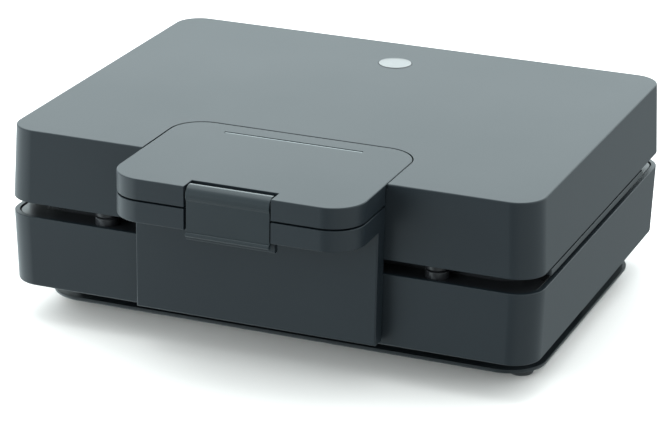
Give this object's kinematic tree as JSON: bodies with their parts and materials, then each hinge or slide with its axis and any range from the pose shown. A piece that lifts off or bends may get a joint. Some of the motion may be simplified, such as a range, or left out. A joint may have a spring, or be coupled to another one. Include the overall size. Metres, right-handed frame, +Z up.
{
  "type": "donut maker",
  "caption": "Countertop donut maker: a hinged lid with a front handle and latch closes over a base, each holding a plate with ring-shaped cups.",
  "frame": {"origin": "middle of the footprint, handle and hinge included, on the table", "axes": "+X to the right seen from the handle side, +Y to the hinge at the back, +Z up"},
  "size_m": [0.33, 0.3174, 0.1213],
  "materials": {
    "casing": "satin moulded, dark green-grey",
    "dark_plastic": "fine matt moulded, charcoal",
    "nonstick": "cast aluminium under a glossy black non-stick coating",
    "steel": "zinc plated",
    "aluminium": "bright rolled sheet",
    "rubber": "moulded",
    "badge_metal": "fine brushed and clear anodised",
    "lens": "translucent, polished",
    "circuit_board": "solder resist",
    "led_red": "clear tinted",
    "led_green": "clear tinted",
    "ceramic": "glazed pale block"
  },
  "bodies": {
    "base": {"lower_housing": "casing", "bottom_cover": "dark_plastic", "foot_front_left": "rubber", "foot_front_right": "rubber", "foot_back_left": "rubber", "foot_back_right": "rubber", "cover_screw_1": "steel", "cover_screw_2": "steel", "cover_screw_3": "steel", "cover_screw_4": "steel", "lower_handle": "casing", "lower_handle_cover": "dark_plastic", "lower_handle_screw_left": "steel", "lower_handle_screw_right": "steel", "hinge_pin_left": "steel", "hinge_pin_right": "steel", "thermostat": "dark_plastic", "thermal_fuse": "aluminium", "terminal_block": "ceramic", "cord_gland": "rubber", "lower_plate": "nonstick", "lower_plate_screw_front_left": "steel", "lower_plate_screw_front_right": "steel", "lower_plate_screw_back_left": "steel", "lower_plate_screw_back_right": "steel", "lower_heating_element": "steel", "lower_element_clamp_left": "steel", "lower_element_clamp_right": "steel", "lower_reflector": "aluminium"},
    "lid": {"upper_housing": "casing", "upper_handle": "casing", "upper_handle_cover": "dark_plastic", "upper_handle_screw_left": "steel", "upper_handle_screw_right": "steel", "badge": "badge_metal", "indicator_lens": "lens", "indicator_board": "circuit_board", "power_led": "led_red", "ready_led": "led_green", "latch_pin": "steel", "side_rail_left": "dark_plastic", "side_rail_right": "dark_plastic", "upper_plate": "nonstick", "upper_plate_screw_front_left": "steel", "upper_plate_screw_front_right": "steel", "upper_plate_screw_back_left": "steel", "upper_plate_screw_back_right": "steel", "upper_heating_element": "steel", "upper_element_clamp_left": "steel", "upper_element_clamp_right": "steel", "upper_reflector": "aluminium"},
    "latch": {"latch_clip": "casing"}
  },
  "joints": [
    {"name": "lid_hinge", "type": "hinge", "parent": "base", "child": "lid", "pos_m": [0, 0.1527, 0.0719], "axis": [-1, 0, 0], "range_deg": [0, 98]},
    {"name": "latch_hinge", "type": "hinge", "parent": "lid", "child": "latch", "pos_m": [0, -0.1528, 0.1154], "axis": [-1, 0, 0], "range_deg": [0, 80]}
  ]
}
